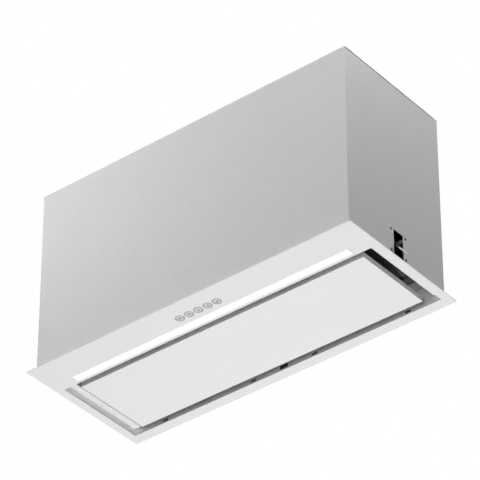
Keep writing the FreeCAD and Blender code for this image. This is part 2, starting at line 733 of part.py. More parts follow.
def lamp_diffuser():
    """Opal bar, flush with the trim, stepped to sit inside the channel."""
    front = LAMP_FRONT + SEAT_GAP
    rear = LAMP_REAR - SEAT_GAP
    step = LAMP_REAR - LAMP_WALL
    outline = [
        (front, 0), (rear, 0), (rear, TRIM_SHEET), (step, TRIM_SHEET),
        (step, TRIM_SHEET + 2), (LAMP_FRONT, TRIM_SHEET + 2), (LAMP_FRONT, TRIM_SHEET), (front, TRIM_SHEET),
    ]
    return prism("x", -LAMP_LENGTH / 2 + SEAT_GAP, LAMP_LENGTH / 2 - SEAT_GAP, outline)


def lamp_board_top():
    return TRIM_SHEET + LAMP_TALL - LAMP_WALL


def lamp_board():
    """Board against the top of the channel."""
    inner = LAMP_LENGTH / 2 - 4
    top = lamp_board_top()
    return box(-inner, inner, LAMP_FRONT + 2, LAMP_REAR - LAMP_WALL - 2, top - 1.6, top)


def lamp_chips():
    """One row of chips under the board."""
    middle = (LAMP_FRONT + LAMP_REAR - LAMP_WALL) / 2
    pitch = LAMP_LENGTH / CHIP_COUNT
    top = lamp_board_top() - 1.6
    half = CHIP_SIZE / 2
    chips = []
    for index in range(CHIP_COUNT):
        x = (index + 0.5) * pitch - LAMP_LENGTH / 2
        chips.append(box(x - half, x + half, middle - half, middle + half, top - 1.0, top))
    return Part.makeCompound(chips)


def lamp_driver():
    """Sealed power supply of the lamp, with fixing ears, in the front compartment."""
    x0 = LAMP_LENGTH / 2 - DRIVER_EDGE - DRIVER_LENGTH
    y1 = LAMP_FRONT - LAMP_WALL - 4
    y0 = y1 - DRIVER_DEPTH
    base = TRIM_SHEET
    case = prism("x", x0, x0 + DRIVER_LENGTH, rectangle(y0, y1, base, base + DRIVER_TALL), 2.5)
    ears = box(x0 - 12, x0 + DRIVER_LENGTH + 12, y0 + 5, y1 - 5, base, base + 2.5)
    middle = (y0 + y1) / 2
    holes = []
    for x in (x0 - 6, x0 + DRIVER_LENGTH + 6):
        holes.append(rod(2.0, V(x, middle, base - 1), V(x, middle, base + 4)))
    return joined(case, ears).cut(holes)


def housing_outline(inset):
    """Outline of the switch housing round the row of buttons, drawn in by an inset."""
    reach = BUTTON_DIAMETER / 2 + HOUSING_MARGIN - inset
    half_x = (BUTTON_COUNT - 1) / 2 * BUTTON_PITCH + reach
    return rectangle(-half_x, half_x, BUTTON_Y - reach, BUTTON_Y + reach)


def switch_housing():
    """Moulded carrier: an open space for the button flanges, five guides and a switch tray."""
    base = TRIM_SHEET
    top = base + HOUSING_TALL
    body = prism("z", base, top, housing_outline(0), HOUSING_CORNER)
    inner = housing_outline(HOUSING_WALL)
    guide_low = base + HOUSING_TALL * 0.35
    guide_high = base + HOUSING_TALL * 0.5
    cuts = [prism("z", base - 1, guide_low, inner, 1.0), prism("z", guide_high, top + 1, inner, 1.0)]
    for centre in button_centres():
        guide = BUTTON_STEM + RUNNING_GAP
        cuts.append(rod(guide, centre + V(0, 0, base), centre + V(0, 0, top)))
    return body.cut(cuts)


def switch_board():
    """Board that closes the housing and carries the switches."""
    base = TRIM_SHEET + HOUSING_TALL
    return prism("z", base, base + BOARD_SHEET, housing_outline(0), HOUSING_CORNER)


def switches():
    """One push switch over each button stem."""
    half = SWITCH_BODY / 2
    low = SWITCH_BASE
    high = SWITCH_BASE + SWITCH_TALL
    blocks = []
    for centre in button_centres():
        x = centre.x
        block = box(x - half, x + half, BUTTON_Y - half, BUTTON_Y + half, low + SWITCH_PLUNGER, high)
        plunger = rod(SWITCH_BODY * 0.28, V(x, BUTTON_Y, low), V(x, BUTTON_Y, high))
        blocks.append(joined(block, plunger))
    return Part.makeCompound(blocks)


def button(centre):
    """Round cap with a dished face, a flange that stops on the trim, and a guided stem."""
    radius = BUTTON_DIAMETER / 2
    flange = radius + BUTTON_FLANGE
    seat = TRIM_SHEET
    stem_top = SWITCH_BASE - BUTTON_TRAVEL - 0.1
    profile = [
        (0.3, 0), (0.3, radius - 2.0), (0.0, radius - 1.6), (0.0, radius - 0.5), (0.5, radius),
        (seat, radius), (seat, flange), (seat + 1.2, flange), (seat + 1.2, radius - 2),
        (seat + 3.0, radius - 2), (seat + 3.0, BUTTON_STEM), (stem_top, BUTTON_STEM), (stem_top, 0),
    ]
    return turned(profile, centre, V(0, 0, 1), V(1, 0, 0))


def scroll_outline(x, grow):
    """Closed outline of the scroll at x: a widening spiral that runs up into the neck."""
    start = math.radians(TONGUE_ANGLE)
    sweep = 2 * math.pi - start
    points = []
    for index in range(13):
        share = index / 12
        angle = start + sweep * share
        radius = SCROLL_R0 + SCROLL_GROWTH * share + grow
        points.append(V(x, SCROLL_Y + radius * math.cos(angle), SCROLL_Z + radius * math.sin(angle)))
    spiral = Part.BSplineCurve()
    spiral.interpolate(points)
    rear = V(x, points[-1].y, NECK_Z)
    front = V(x, points[0].y, NECK_Z)
    lines = [(points[-1], rear), (rear, front), (front, points[0])]
    return Part.Wire([spiral.toShape()] + [Part.makeLine(a, b) for a, b in lines])


def scroll_right():
    """Half of the blower housing: spiral wall, side plate and a rounded inlet mouth."""
    width = SCROLL_WIDTH / 2
    outer = Part.Face(scroll_outline(0, SCROLL_WALL)).extrude(V(width, 0, 0))
    inner = Part.Face(scroll_outline(-1, 0)).extrude(V(width + 1 - SCROLL_WALL, 0, 0))
    neck = box(-1, width - SCROLL_WALL, neck_front(), neck_rear(), NECK_Z - 4, NECK_Z + 1)
    centre = V(0, SCROLL_Y, SCROLL_Z)
    eye = rod(INLET_RADIUS, centre + V(width - 5, 0, 0), centre + V(width + 5, 0, 0))
    mouth = [
        (width - MOUTH_DEPTH, INLET_RADIUS - 2),
        (width - MOUTH_DEPTH, INLET_RADIUS),
        (width - MOUTH_DEPTH * 0.65, INLET_RADIUS + 0.5),
        (width, INLET_RADIUS + 3),
        (width, INLET_RADIUS),
        (width - MOUTH_DEPTH * 0.5, INLET_RADIUS - 1.4),
    ]
    bell = turned(mouth, centre, V(1, 0, 0), V(0, 1, 0))
    shell = joined(outer.cut([inner, neck, eye]), bell)
    return shell.cut(screw_holes(V(-1, 0, 0), motor_mount_points()))


def scroll_left():
    """The other half, without the holes for the motor mounts."""
    half = mirrored(scroll_right())
    plugs = []
    for point in motor_mount_points():
        seat = V(-point.x, point.y, point.z)
        plugs.append(rod(SCREW_RADIUS + SCREW_GAP, seat, seat + V(SCROLL_WALL, 0, 0)))
    return joined(half, *plugs)


def neck_front():
    return SCROLL_Y + SCROLL_R0 * math.cos(math.radians(TONGUE_ANGLE))


def neck_rear():
    return SCROLL_Y + SCROLL_R1


def adapter_solid(grow, low, high):
    """Solid that runs from the square neck to the round outlet."""
    half = SCROLL_WIDTH / 2 - SCROLL_WALL + grow
    corner = 6.0
    neck = [
        V(half, neck_front() - grow, low), V(half, neck_rear() + grow, low),
        V(-half, neck_rear() + grow, low), V(-half, neck_front() - grow, low),
    ]
    square = Part.Wire(rounded_run(neck, [corner] * 4, closed=True))
    radius = COLLAR_INNER - FLAP_LIP - SCROLL_WALL + grow
    marks = []
    for index in range(4):
        for offset in (25, 65):
            marks.append(math.radians(90 * index + offset))
    stations = []
    for index, angle in enumerate(marks):
        following = marks[(index + 1) % 8] + (2 * math.pi if index == 7 else 0)
        trio = [angle, (angle + following) / 2, following]
        stations.append([V(radius * math.cos(t), COLLAR_Y + radius * math.sin(t), high) for t in trio])
    arcs = [Part.Arc(*trio).toShape() for trio in stations]
    return Part.makeLoft([square, Part.Wire(arcs[1:] + arcs[:1])], True, True)


def outlet_adapter():
    """Lofted duct from the blower's square neck to the hole in the top cover."""
    shell = adapter_solid(SCROLL_WALL, NECK_Z, WRAP_TOP).cut(adapter_solid(0, NECK_Z, WRAP_TOP))
    ring = COLLAR_INNER - FLAP_LIP
    base = V(0, COLLAR_Y, WRAP_TOP - 3)
    flange = rod(COLLAR_RADIUS + COLLAR_FLANGE, base, base + V(0, 0, 3))
    flange = flange.cut(rod(ring - SCROLL_WALL * 0.5, base - V(0, 0, 1), base + V(0, 0, 4)))
    return joined(shell, flange).cut(screw_holes(V(0, 0, -1), collar_screw_seats()))


def blade(angle):
    """One forward-curved blade across the whole wheel."""
    inner = WHEEL_RADIUS - BLADE_DEPTH
    middle = WHEEL_RADIUS - BLADE_DEPTH * 0.5
    half = WHEEL_WIDTH / 2 - RING_THICK / 2

    def at(radius, degrees):
        turn = math.radians(degrees + angle)
        return V(-half, SCROLL_Y + radius * math.cos(turn), SCROLL_Z + radius * math.sin(turn))

    face_in = [at(inner, 0), at(middle, BLADE_LEAN * 0.38), at(WHEEL_RADIUS - 0.5, BLADE_LEAN)]
    face_out = [
        at(WHEEL_RADIUS - 0.5, BLADE_LEAN + BLADE_ANGLE_THICK),
        at(middle, BLADE_LEAN * 0.38 + BLADE_ANGLE_THICK),
        at(inner, BLADE_ANGLE_THICK),
    ]
    edges = [
        Part.Arc(*face_in).toShape(),
        Part.makeLine(face_in[-1], face_out[0]),
        Part.Arc(*face_out).toShape(),
        Part.makeLine(face_out[-1], face_in[0]),
    ]
    return Part.Face(Part.Wire(edges)).extrude(V(2 * half, 0, 0))


def wheel():
    """Double-inlet wheel: centre disc with a hub, two end rings and the blades."""
    half = WHEEL_WIDTH / 2
    centre = V(0, SCROLL_Y, SCROLL_Z)
    web = RING_THICK / 2
    hub = [
        (-HUB_FRONT, SHAFT_RADIUS),
        (-HUB_FRONT, HUB_RADIUS),
        (-web - 0.5, HUB_RADIUS + 2),
        (-web, WHEEL_RADIUS),
        (web, WHEEL_RADIUS),
        (web + 0.5, HUB_RADIUS + 2),
        (HUB_REAR, HUB_RADIUS),
        (HUB_REAR, SHAFT_RADIUS),
    ]
    disc = turned(hub, centre, V(1, 0, 0), V(0, 1, 0))
    rings = []
    inner = WHEEL_RADIUS - BLADE_DEPTH * 0.55
    for start in (-half, half - RING_THICK):
        stop = start + RING_THICK
        band = [(start, inner), (start, WHEEL_RADIUS), (stop, WHEEL_RADIUS), (stop, inner)]
        rings.append(turned(band, centre, V(1, 0, 0), V(0, 1, 0)))
    blades = [blade(360.0 / BLADE_COUNT * (index + 0.3)) for index in range(BLADE_COUNT)]
    return disc.fuse(rings + blades)


def motor_shaft():
    """Steel shaft pressed into the wheel and running in the motor."""
    centre = V(0, SCROLL_Y, SCROLL_Z)
    return rod(SHAFT_RADIUS, centre - V(HUB_FRONT + 4, 0, 0), centre + V(MOTOR_REAR - 6, 0, 0))


def motor():
    """Motor inside the right half of the wheel, with bearing bosses and a rear seat."""
    bore = SHAFT_RADIUS + RUNNING_GAP
    start = MOTOR_START
    rear = MOTOR_REAR
    profile = [
        (start, bore),
        (start, MOTOR_BOSS_RADIUS),
        (start + 5, MOTOR_BOSS_RADIUS),
        (start + 5, MOTOR_RADIUS - 5),
        (start + 10, MOTOR_RADIUS),
        (rear - 8, MOTOR_RADIUS),
        (rear - 3, MOTOR_RADIUS - 5),
        (rear, MOTOR_NECK_RADIUS),
        (MOTOR_SEAT, MOTOR_NECK_RADIUS),
        (MOTOR_SEAT, 0),
        (rear - 5, 0),
        (rear - 5, bore),
    ]
    return turned(profile, V(0, SCROLL_Y, SCROLL_Z), V(1, 0, 0), V(0, 1, 0))


def motor_bracket():
    """Three-armed steel bracket between the motor and the rubber mounts."""
    base = V(MOTOR_SEAT, SCROLL_Y, SCROLL_Z)
    half = BRACKET_ARM / 2
    pieces = [rod(MOTOR_NECK_RADIUS + half, base, base + V(BRACKET_SHEET, 0, 0))]
    for index in range(3):
        arm = rectangle(SCROLL_Y - half, SCROLL_Y + half, SCROLL_Z, SCROLL_Z + MOUNT_CIRCLE + half)
        arm = prism("x", MOTOR_SEAT, MOTOR_SEAT + BRACKET_SHEET, arm, radii=[0, 0, half * 0.8, half * 0.8])
        pieces.append(arm.rotated(base, V(1, 0, 0), 120 * index))
    return joined(*pieces).cut(screw_holes(V(-1, 0, 0), motor_screw_seats()))


def motor_grommets():
    """Rubber rings between the bracket and the scroll."""
    rings = []
    for point in motor_mount_points():
        ring = rod(GROMMET_RADIUS, point, point + V(GROMMET_TALL, 0, 0))
        hole = rod(SCREW_RADIUS + SCREW_GAP, point - V(1, 0, 0), point + V(GROMMET_TALL + 1, 0, 0))
        rings.append(ring.cut(hole))
    return Part.makeCompound(rings)


def capacitor():
    """Motor capacitor on a saddle on the compartment cover."""
    y = INNER_FRONT + CAPACITOR_RADIUS + 8
    low = FILTER_HEIGHT
    z = low + CAPACITOR_RADIUS + 3
    x0 = INNER_X - CAPACITOR_EDGE - CAPACITOR_LENGTH
    can = rod(CAPACITOR_RADIUS, V(x0, y, z), V(x0 + CAPACITOR_LENGTH, y, z))
    post = rod(4.0, V(x0 - 8, y, z), V(x0, y, z))
    saddle = box(x0 + 10, x0 + CAPACITOR_LENGTH - 10, y - 10, y + 10, low, z)
    return joined(can, post, saddle)


def outlet_collar():
    """Round outlet: screw flange, tube with a bead, inner lip under the flaps, pivot holes."""
    base = V(0, COLLAR_Y, CASING_HEIGHT)
    lip_top = FLAP_HEIGHT - FLAP_THICK / 2
    profile = [
        (0, COLLAR_INNER - FLAP_LIP), (0, COLLAR_RADIUS + COLLAR_FLANGE),
        (COLLAR_FLANGE_THICK, COLLAR_RADIUS + COLLAR_FLANGE), (COLLAR_FLANGE_THICK, COLLAR_RADIUS),
        (COLLAR_TALL - 1, COLLAR_RADIUS), (COLLAR_TALL, COLLAR_RADIUS - 1), (COLLAR_TALL, COLLAR_INNER),
        (lip_top, COLLAR_INNER), (lip_top, COLLAR_INNER - FLAP_LIP),
    ]
    tube = turned(profile, base, V(0, 0, 1), V(1, 0, 0))
    cuts = screw_holes(V(0, 0, -1), collar_screw_seats())
    for side in (-1, 1):
        pivot = V(0, COLLAR_Y + side * FLAP_OFFSET, FLAP_Z)
        reach = V(COLLAR_RADIUS + 5, 0, 0)
        cuts.append(rod(FLAP_PIVOT + RUNNING_GAP, pivot - reach, pivot + reach))
    return tube.cut(cuts)


def flap(side):
    """Half-round non-return flap moulded with its pivot rod; side -1 is the front one."""
    radius = COLLAR_INNER - FLAP_EDGE_GAP
    axis_y = COLLAR_Y + side * FLAP_OFFSET
    low = FLAP_Z - FLAP_THICK / 2
    disc = rod(radius, V(0, COLLAR_Y, low), V(0, COLLAR_Y, low + FLAP_THICK))
    y0, y1 = sorted((axis_y, axis_y + side * 2 * radius))
    half = disc.common(box(-radius, radius, y0, y1, low - 1, low + 3))
    reach = math.sqrt((COLLAR_RADIUS - 0.6) ** 2 - FLAP_OFFSET ** 2)
    inside = COLLAR_INNER - FLAP_LIP - 0.5
    pivot = rod(FLAP_PIVOT, V(-reach, axis_y, FLAP_Z), V(reach, axis_y, FLAP_Z))
    rib = box(-1, 1, y0, y1, low + FLAP_THICK, low + FLAP_THICK + 2).common(
        rod(inside, V(0, COLLAR_Y, low), V(0, COLLAR_Y, low + 9)))
    return joined(half, pivot, rib)


def box_outline(inset):
    """Outline of the control box, drawn in all round by an inset."""
    half_x = BOX_LENGTH / 2 - inset
    half_y = BOX_DEPTH / 2 - inset
    return rectangle(BOX_X - half_x, BOX_X + half_x, BOX_Y - half_y, BOX_Y + half_y)


def control_box():
    """Moulded tray under the top cover, open below, with screw bosses in the corners."""
    top = WRAP_TOP
    low = top - BOX_TALL
    hollow = prism("z", low - 1, top - BOX_WALL, box_outline(BOX_WALL), BOX_CORNER - 1)
    tray = prism("z", low, top, box_outline(0), BOX_CORNER).cut(hollow)
    bosses = []
    for x, y in box_outline(0):
        px = x + math.copysign(BOSS_INSET, BOX_X - x)
        py = y + math.copysign(BOSS_INSET, BOX_Y - y)
        bosses.append(rod(BOSS_RADIUS, V(px, py, top - BOARD_DROP), V(px, py, top - BOX_WALL)))
    return joined(tray, *bosses)


def control_board():
    """Board with its relays, transformer, terminals and capacitor, under the bosses of the box."""
    high = WRAP_TOP - BOARD_DROP
    low = high - BOARD_SHEET
    board = prism("z", low, high, box_outline(BOX_WALL + 2 * SEAT_GAP), BOX_CORNER / 2)

    def block(x_share, y_share, length_share, depth_share, tall_share):
        """A part soldered under the board, placed and sized in shares of the box."""
        x = BOX_X + x_share * BOX_LENGTH
        y = BOX_Y + y_share * BOX_DEPTH
        length = length_share * BOX_LENGTH
        depth = depth_share * BOX_DEPTH
        return box(x, x + length, y, y + depth, low - tall_share * BOX_TALL, low)

    relays = [block(-0.34 + 0.18 * index, -0.30, 0.13, 0.18, 0.36) for index in range(4)]
    transformer = block(-0.34, 0.05, 0.27, 0.28, 0.46)
    terminals = block(0.07, 0.24, 0.33, 0.12, 0.28)
    can_at = V(BOX_X + BOX_LENGTH * 0.17, BOX_Y + BOX_DEPTH * 0.08, low)
    can = rod(BOX_DEPTH * 0.06, can_at - V(0, 0, BOX_TALL * 0.42), can_at)
    return joined(board, *relays, transformer, terminals, can)


def control_lid():
    """Snap lid of the control box, with a rim inside the walls."""
    low = WRAP_TOP - BOX_TALL
    plate = prism("z", low - BOX_WALL, low, box_outline(0), BOX_CORNER)
    inset = BOX_WALL + SEAT_GAP
    rim = prism("z", low, low + 2 * BOX_WALL, box_outline(inset), BOX_CORNER / 2)
    hollow = prism("z", low - 1, low + 3 * BOX_WALL, box_outline(inset + BOX_WALL * 0.75), BOX_CORNER / 3)
    return joined(plate, rim.cut(hollow))


def cable_gland():
    """Hexagonal gland through the top cover, open for a cable, with its nut below."""
    base = V(GLAND_X, GLAND_Y, CASING_HEIGHT)
    hexagon = []
    for index in range(6):
        turn = math.radians(60 * index)
        hexagon.append((GLAND_X + 11 * math.cos(turn), GLAND_Y + 11 * math.sin(turn)))
    head = prism("z", CASING_HEIGHT, CASING_HEIGHT + 7, hexagon, 1.0)
    dome = turned([(7, 0), (7, 9.5), (13, 9), (16, 6), (16, 0)], base, V(0, 0, 1), V(1, 0, 0))
    stem = rod(GLAND_RADIUS, base - V(0, 0, 12), base)
    nut = prism("z", WRAP_TOP - 5, WRAP_TOP, hexagon, 1.0)
    bore = rod(GLAND_BORE, base - V(0, 0, 20), base + V(0, 0, 20))
    return joined(head, dome, stem, nut).cut(bore)


def clip_right():
    """Folded leaf: curled round its pin, out and down through the window, its tip hemmed under."""
    pivot_x = BODY_X - CLIP_PIVOT_INSET
    inside = CLIP_PIN + RUNNING_GAP
    y0 = CLIP_Y - CLIP_WIDTH / 2
    y1 = CLIP_Y + CLIP_WIDTH / 2
    tip_x = BODY_X + CLIP_TIP_PROUD
    path = [
        (tip_x - CLIP_HEM, CLIP_TIP_HEIGHT),
        (tip_x, CLIP_TIP_HEIGHT),
        (pivot_x + inside * 0.8, CLIP_PIVOT_HEIGHT + inside * 0.6),
    ]
    leaf = bent_sheet("y", y0, y1, path, thick=CLIP_SHEET, bend=0.4)
    pivot = V(pivot_x, 0, CLIP_PIVOT_HEIGHT)
    curl = rod(inside + CLIP_SHEET, pivot + V(0, y0, 0), pivot + V(0, y1, 0))
    bore = rod(inside, pivot + V(0, y0 - 1, 0), pivot + V(0, y1 + 1, 0))
    return joined(leaf, curl).cut(bore)


def clip_pins():
    """Pivot pins pressed through the lugs of both windows."""
    half = CLIP_WINDOW_WIDTH / 2 + STEEL + 1
    pins = []
    for side in (-1, 1):
        centre = V(side * (BODY_X - CLIP_PIVOT_INSET), CLIP_Y, CLIP_PIVOT_HEIGHT)
        pins.append(rod(CLIP_PIN, centre - V(0, half, 0), centre + V(0, half, 0)))
    return Part.makeCompound(pins)


def screws(tip_direction, seats):
    return Part.makeCompound([screw(tip_direction, seat) for seat in seats])


def nodes():
    """Every piece of the hood by name."""
    pieces = {
        "casing_wrap": casing_wrap(),
        "casing_rear": casing_rear(),
        "casing_top": casing_top(),
        "trim_frame": trim_frame(),
        "recess_frame": recess_frame(),
        "compartment_cover": compartment_cover(),
        "filter_rail": filter_rail(),
        "panel_skin": panel_skin(),
        "panel_back": panel_back(),
        "hinge_pins": hinge_pins(),
        "lamp_profile": lamp_profile(),
        "lamp_diffuser": lamp_diffuser(),
        "lamp_board": lamp_board(),
        "lamp_chips": lamp_chips(),
        "lamp_driver": lamp_driver(),
        "switch_housing": switch_housing(),
        "switch_board": switch_board(),
        "switches": switches(),
        "scroll_left": scroll_left(),
        "scroll_right": scroll_right(),
        "outlet_adapter": outlet_adapter(),
        "blower_wheel": wheel(),
        "motor_shaft": motor_shaft(),
        "motor": motor(),
        "motor_bracket": motor_bracket(),
        "motor_grommets": motor_grommets(),
        "capacitor": capacitor(),
        "outlet_collar": outlet_collar(),
        "flap_front": flap(-1),
        "flap_rear": flap(1),
        "control_box": control_box(),
        "control_board": control_board(),
        "control_lid": control_lid(),
        "cable_gland": cable_gland(),
        "clip_pins": clip_pins(),
        "casing_screws": screws(V(0, -1, 0), rear_screw_seats()),
        "collar_screws": screws(V(0, 0, -1), collar_screw_seats()),
        "motor_screws": screws(V(-1, 0, 0), motor_screw_seats()),
    }
    for index, centre in enumerate(button_centres()):
        pieces["button_%d" % (index + 1)] = button(centre)
    paired = {
        "ledge": ledge_right,
        "filter_frame": filter_frame_right,
        "filter_mesh": filter_mesh_right,
        "filter_latch": filter_latch_right,
        "hinge_arm": hinge_arm_right,
        "hinge_bracket": hinge_bracket_right,
        "catch_magnet": catch_magnet_right,
        "clip": clip_right,
    }
    for name, make in paired.items():
        right = make()
        pieces[name + "_right"] = right
        pieces[name + "_left"] = mirrored(right)
    return pieces


os.makedirs("parts", exist_ok=True)
for name, shape in nodes().items():
    shape.exportStep("parts/%s.step" % name)
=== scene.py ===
import json
import math

import bmesh
import bpy
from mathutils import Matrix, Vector


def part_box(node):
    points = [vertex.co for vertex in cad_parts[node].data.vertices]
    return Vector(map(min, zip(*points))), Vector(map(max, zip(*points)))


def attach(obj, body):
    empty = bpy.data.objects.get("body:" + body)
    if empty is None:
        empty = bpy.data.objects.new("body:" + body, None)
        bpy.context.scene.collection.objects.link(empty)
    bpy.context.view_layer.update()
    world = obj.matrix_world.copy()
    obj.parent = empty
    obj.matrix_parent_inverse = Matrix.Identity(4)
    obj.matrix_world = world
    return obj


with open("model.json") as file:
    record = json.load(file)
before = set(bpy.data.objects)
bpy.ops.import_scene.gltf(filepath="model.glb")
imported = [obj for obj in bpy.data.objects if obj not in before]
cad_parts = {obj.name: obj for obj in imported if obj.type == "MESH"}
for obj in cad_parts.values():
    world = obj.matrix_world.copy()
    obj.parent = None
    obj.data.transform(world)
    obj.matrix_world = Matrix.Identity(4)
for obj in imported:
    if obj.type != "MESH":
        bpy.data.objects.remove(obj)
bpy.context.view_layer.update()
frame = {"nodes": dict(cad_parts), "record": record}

NODES = frame["nodes"]
SQUARE_CORNERS = ((-1, -1), (1, -1), (1, 1), (-1, 1))

# Camera, worked out from the corners of the trim and the casing in the photograph
CAMERA_PLACE = (2.862, -3.537, -3.118)
CAMERA_AZIMUTH = math.radians(38.94)
CAMERA_ELEVATION = math.radians(-36.14)
CAMERA_LENS = 244.6
CAMERA_REACH = 300.0
SENSOR_WIDTH = 36.0

# Studio
FLOOR_HEIGHT = -6.6
FLOOR_SIZE = 160.0
FLOOR_COLOR = (0.86, 0.86, 0.86)
BACKDROP_WHITE = (1.0, 1.0, 1.0)
AMBIENT = 0.05
WHITE_RAYS = ("Is Camera Ray", "Is Glossy Ray", "Is Transmission Ray")

# Square lamps: name, place, the point that it faces, side in metres, watts
LAMPS = (
    ("left key", (-1.8, -1.2, 2.0), (-0.2, -0.1, 0.3), 1.2, 17.5),
    ("left corner", (-1.1, -0.8, 1.0), (-0.3, -0.13, 0.33), 0.6, 2.9),
    ("front fill", (0.3, -1.3, 2.1), (0.0, -0.1, 0.25), 1.2, 39.7),
    ("right fill", (1.15, 0.35, 1.65), (0.3, 0.0, 0.3), 0.8, 21.2),
    ("rear fill", (-0.2, 2.3, 0.7), (0.0, 0.1, 0.2), 1.2, 15.0),
    ("low fill", (-0.1, 0.4, -2.5), (0.0, 0.0, 0.0), 2.2, 63.0),
    ("low right", (1.3, -0.1, -2.1), (0.0, 0.0, 0.0), 1.0, 2.0),
    ("level front", (1.24, -2.6, -1.0), (0.27, 0.1, 0.05), 0.6, 13.0),
)

# Colours, as linear values
WHITE_PAINT = (0.82, 0.82, 0.83)
# A slightly darker copy of the panel's white paint, as painted shade on the trim
TRIM_SHADED_PAINT = (0.80, 0.80, 0.81)
# A lighter copy of the white paint, as painted light on the shaded recess walls
RECESS_LIT_PAINT = (0.92, 0.92, 0.93)
# A darker copy of the white paint, as painted shade on the ledges
LEDGE_SHADED_WHITE = (0.75, 0.75, 0.76)
LEDGE_STEEL = (0.56, 0.56, 0.57)
ZINC_STEEL = (0.493, 0.493, 0.504)
# Near-black steel used as painted shade: inside the rear wall, on the ledges' outer faces, and on the
# filter rail's cut edge and lip
PAINTED_SHADE_STEEL = (0.10, 0.10, 0.103)
INNER_STEEL = (0.42, 0.425, 0.43)
SPRING_STEEL = (0.62, 0.62, 0.63)
# Near-black on the clip's leaf above its bright hem, as painted shade
CLIP_LEAF_SHADE = (0.035, 0.036, 0.038)
FASTENER_STEEL = (0.55, 0.55, 0.56)
ALUMINIUM = (0.62, 0.63, 0.64)
FILTER_ALUMINIUM = (0.40, 0.405, 0.41)
# Filter mesh far darker than bare aluminium, partly painted shade for the dark space over the filters
SHADED_MESH_ALUMINIUM = (0.13, 0.132, 0.135)
MOTOR_GREY = (0.18, 0.185, 0.19)
CHARCOAL = (0.035, 0.035, 0.037)
SCROLL_BLACK = (0.028, 0.028, 0.03)
SWITCH_BLACK = (0.02, 0.02, 0.02)
RUBBER_BLACK = (0.018, 0.018, 0.018)
PALE_PLASTIC = (0.66, 0.66, 0.67)
BUTTON_FILL = (0.60, 0.605, 0.62)
BUTTON_RING = (0.31, 0.315, 0.33)
SIGN_GREY = (0.06, 0.06, 0.065)
BOARD_GREEN = (0.03, 0.13, 0.06)
PHOSPHOR = (0.85, 0.72, 0.30)
OPAL_WHITE = (0.80, 0.80, 0.81)
GLOW_COOL = (0.97, 0.98, 1.0)
GLOW_WHITE = (1.0, 1.0, 1.0)

# Heights between which a sheet is painted or bright, in metres, and half the width of such an edge
# The ledges' paint stops on their bend, so the bare steel above draws a thin line of painted shade beside
# the panel
LEDGE_PAINT = (0.0, 0.0129)
# The filter rail is white only between these heights; its cut edge below and its lip above take near-black
# painted shade
RAIL_PAINT = (0.0403, 0.0575)
# The clip is bright steel up to this height; its leaf above is painted shade
CLIP_BRIGHT = (0.0, 0.026)
PAINT_EDGE = 0.00015

# Thickness of a sheet, and the shares of it between which one face's finish turns into the other's
SHEET = 0.001
SHEET_MIDDLE = (0.4, 0.6)

# Buttons: how many, radius in metres, and the shares of it between which the middle turns into the rim
BUTTON_COUNT = 5
BUTTON_RADIUS = 0.00825
BUTTON_RIM = (0.78, 0.86)

# Stretch of rolling marks, strength of the clouds in a zinc coat, turn of the mesh strands in radians
ROLLED = (1.0, 1.0, 0.08)
ZINC_CLOUDS = 0.015
STRAND_TURN = 0.9

# Lamp diffuser: strength of its glow, and where the glow rises, measured inwards from each edge
OPAL_GLOW = 0.32
FRONT_FADE = (-0.002, 0.0065)
REAR_FADE = (0.0015, 0.008)
END_FADE = (0.0, 0.006)

# Heights of the two faces of a printed sign above the lowest edge of its button
PRINT_HEIGHTS = (0.00022, 0.00032)

# Outlines of the signs, in metres and degrees
STROKE = 0.0008
ARC_POINTS = 25
BULB_RING = (0.0010, 0.0016)
BULB_SWEEP = 350.0
RAY_REACH = (0.0022, 0.0031)
RAY_COUNT = 8
OFF_RING = (0.0021, 0.0027)
OFF_START = 120.0
OFF_SWEEP = 300.0
OFF_BAR_Y = 0.0021
OFF_BAR_LENGTH = 0.0022
SPEED_Y = 0.0014

# Bars of each speed's sign: their places, width and height
SPEED_BARS = (
    ((0.0,), 0.00176, 0.0034),
    ((-0.0009, 0.0009), 0.0012, 0.0032),
    ((-0.0017, 0.0, 0.0017), 0.0012, 0.0032),
)

# Sockets of the mix node that hold colours, whose names are not unique
MIX_LOW = 6
MIX_HIGH = 7
MIX_RESULT = 2


def scaled(color, factor=1.0):
    """A colour made lighter or darker, with an opaque alpha."""
    return tuple(min(channel * factor, 1.0) for channel in color) + (1.0,)


def picked(tree, operation, values):
    """The least or the greatest of several values in a node tree."""
    result = values[0]
    for value in values[1:]:
        node = tree.nodes.new("ShaderNodeMath")
        node.operation = operation
        tree.links.new(result, node.inputs[0])
        tree.links.new(value, node.inputs[1])
        result = node.outputs["Value"]
    return result


